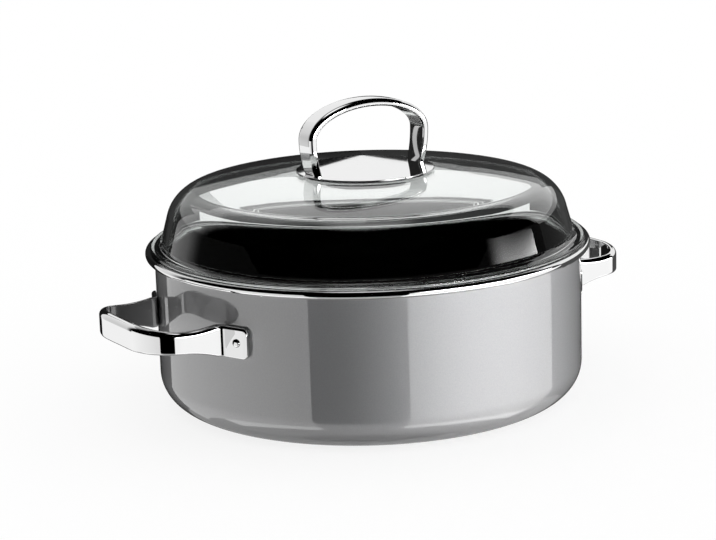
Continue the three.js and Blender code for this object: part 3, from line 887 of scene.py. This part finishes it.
class MakeStage(bpy.types.Operator):
    """Make the floor, the white studio with its cards and softboxes, and the camera."""
    bl_idname = "braising_pot.stage"
    bl_label = "Studio and Camera"

    def execute(self, context):
        stage = context.scene.braising_pot.stage
        self.make_world(context.scene)
        self.make_floor(stage)
        for card in STUDIO_CARDS:
            self.make_card(stage, card)
        self.make_room(stage)
        self.make_overhead(stage)
        self.make_bow_flag()
        self.make_edging(stage)
        self.make_camera(context.scene, stage)
        context.scene.view_settings.view_transform = "Standard"
        return {"FINISHED"}

    def make_world(self, scene):
        """White light from all round."""
        world = bpy.data.worlds.new("white_studio")
        world.use_nodes = True
        world.node_tree.nodes.clear()
        # Light sampling would shine through the cards, so rays find the white world by themselves.
        world.cycles.sampling_method = "NONE"
        glow = add_node(world.node_tree, "ShaderNodeBackground", {"Color": (1, 1, 1, 1), "Strength": 1.0})
        add_node(world.node_tree, "ShaderNodeOutputWorld", {"Surface": glow.outputs["Background"]})
        scene.world = world

    def make_floor(self, stage):
        """Seamless white paper: mostly lit to white, with a little left for the shadow."""
        material, tree = blank_material("white_paper")
        paper = add_node(tree, "ShaderNodeBsdfDiffuse", {"Color": (1, 1, 1, 1)})
        light = add_node(tree, "ShaderNodeEmission", {"Strength": 1.0})
        mixed = add_node(tree, "ShaderNodeMixShader", {
            0: PAPER_GLOW, 1: paper.outputs["BSDF"], 2: light.outputs["Emission"]})
        add_node(tree, "ShaderNodeOutputMaterial", {"Surface": mixed.outputs["Shader"]})
        mesh = revolved("paper_floor", [(stage.floor, -PAPER_DROP), (0, -PAPER_DROP)], SMALL_STEPS)
        # Polished pieces mirror the cards, which reach below the floor.
        self.add("paper_floor", mesh, material, ("camera", "diffuse", "transmission", "shadow"))

    def make_card(self, stage, card):
        """A panel of the tent, with its tones and fades."""
        low, high = card.elevations
        points = []
        tones = []
        for j in range(CARD_ROWS + 1):
            up = j / CARD_ROWS
            for i in range(CARD_COLUMNS + 1):
                along = i / CARD_COLUMNS
                turn = stage.azimuth + math.radians(mix(card.azimuths, along))
                lift = math.radians(mix((low, high + card.rise * along), up))
                points.append(outward(turn, lift) * card.tent)
                fade = 1
                for width, inset in zip(card.fades, (along, 1 - along, up, 1 - up)):
                    if width:
                        fade *= ease(0, 1, inset / width)
                tones.append(mix(card.tones, along) * fade)
        faces = []
        row = CARD_COLUMNS + 1
        for j in range(CARD_ROWS):
            for a in range(j * row, j * row + CARD_COLUMNS):
                faces.append((a, a + 1, a + row + 1, a + row))
        self.add_glowing(card.name, smooth_mesh(card.name, points, faces), tones, card.rays)

    def make_room(self, stage):
        """The dim room round the lit table, which shows through the dome."""
        mesh = revolved("dim_room", [(stage.room, 0), (stage.room, stage.room_height)], SMALL_STEPS)
        self.add_glowing("dim_room", mesh, [ROOM_TONE] * len(mesh.vertices), THROUGH)

    def make_bow_flag(self):
        """A black card with a slit behind the lid, which the inner side of the bow's right leg mirrors."""
        half = BOW_FLAG_GAP / 2
        left, right = BOW_FLAG_SIDES
        corners = []
        for slit, height in zip(BOW_FLAG_SLIT, BOW_FLAG_HEIGHTS):
            corners += [(x, BOW_FLAG_BACK, height) for x in (left, slit - half, slit + half, right)]
        mesh = smooth_mesh("bow_flag", corners, [(0, 1, 5, 4), (2, 3, 7, 6)])
        self.add_glowing("bow_flag", mesh, [BLACK_TONE] * len(corners), MIRRORED)

    def make_overhead(self, stage):
        """A softbox over the lid, which the rim, the plate and the shoulder of the glass mirror."""
        outline = []
        for i in range(OVERHEAD_RINGS + 1):
            outline.append((stage.overhead * (1 - i / OVERHEAD_RINGS), stage.overhead_height))
        mesh = revolved("overhead_softbox", outline, SMALL_STEPS)
        # The outer half of the radius fades.
        fades = [2 * point.co.xy.length / stage.overhead - 1 for point in mesh.vertices]
        tones = [ease(OVERHEAD_TONE, 0, fade) for fade in fades]
        self.add_glowing("overhead_softbox", mesh, tones, BOTH)

    def make_edging(self, stage):
        """Black cards on the table behind the pot, beside the view, which give the glass its dark edges."""
        for name, side in (("left_edging", -1), ("right_edging", 1)):
            corners = []
            for depth in (stage.gap_start, stage.room):
                # The gap widens with the depth, like the view.
                inner = stage.gap * (1 + depth / stage.distance)
                corners += [(side * inner, depth, 0), (side * stage.room, depth, 0)]
            mesh = smooth_mesh(name, corners, [(0, 1, 3, 2)])
            mesh.transform(Matrix.Rotation(stage.azimuth, 4, "Z"))
            self.add_glowing(name, mesh, [BLACK_TONE] * len(corners), THROUGH)

    def add_glowing(self, name, mesh, tones, rays):
        """Adds a card that glows with its own tone at each point."""
        mesh.attributes.new("tone", "FLOAT", "POINT").data.foreach_set("value", tones)
        material, tree = blank_material(name)
        tone = add_node(tree, "ShaderNodeAttribute", {}, attribute_name="tone")
        glow = add_node(tree, "ShaderNodeEmission", {"Strength": tone.outputs["Fac"]})
        add_node(tree, "ShaderNodeOutputMaterial", {"Surface": glow.outputs["Emission"]})
        self.add(name, mesh, material, rays)

    def add(self, name, mesh, material, rays):
        """Adds a piece of the studio that only the given kinds of rays find."""
        mesh.materials.append(material)
        thing = bpy.data.objects.new(name, mesh)
        bpy.context.scene.collection.objects.link(thing)
        for kind in ("camera", "diffuse", "glossy", "transmission", "volume_scatter", "shadow"):
            setattr(thing, f"visible_{kind}", kind in rays)

    def make_camera(self, scene, stage):
        """The camera of the photograph."""
        lens = bpy.data.cameras.new("photo_camera")
        lens.lens = stage.lens
        camera = bpy.data.objects.new("photo_camera", lens)
        back = outward(stage.azimuth, stage.elevation)
        camera.location = Vector(stage.aim) + back * stage.distance
        upright = back.to_track_quat("Z", "Y")
        camera.rotation_euler = (upright @ Quaternion((0, 0, 1), stage.roll)).to_euler()
        scene.collection.objects.link(camera)
        scene.camera = camera


class ShowPot(bpy.types.Panel):
    """Lists the pieces of the braising pot."""
    bl_idname = "VIEW3D_PT_braising_pot"
    bl_label = "Braising Pot"
    bl_space_type = "VIEW_3D"
    bl_region_type = "UI"
    bl_category = "Braising Pot"

    def draw(self, context):
        for maker in MAKERS:
            self.layout.operator(maker.bl_idname)


MAKERS = (MakeShell, MakeRing, MakeStraps, MakeStuds, MakeGlass, MakeCrown, MakeBow, MakeStage)
SETTINGS = (ShellSizes, StrapSizes, LidSizes, BowSizes, Finishes, StageSettings, BraisingPot)
CLASSES = (*SETTINGS, *MAKERS, ShowPot)


def register():
    for made in CLASSES:
        bpy.utils.register_class(made)
    bpy.types.Scene.braising_pot = PointerProperty(type=BraisingPot)


def unregister():
    del bpy.types.Scene.braising_pot
    for made in reversed(CLASSES):
        bpy.utils.unregister_class(made)


def main():
    register()
    bpy.ops.braising_pot.shell()
    bpy.ops.braising_pot.ring()
    bpy.ops.braising_pot.straps()
    bpy.ops.braising_pot.studs()
    bpy.ops.braising_pot.glass()
    bpy.ops.braising_pot.crown()
    bpy.ops.braising_pot.bow()
    bpy.ops.braising_pot.stage()


if __name__ == "__main__":
    main()
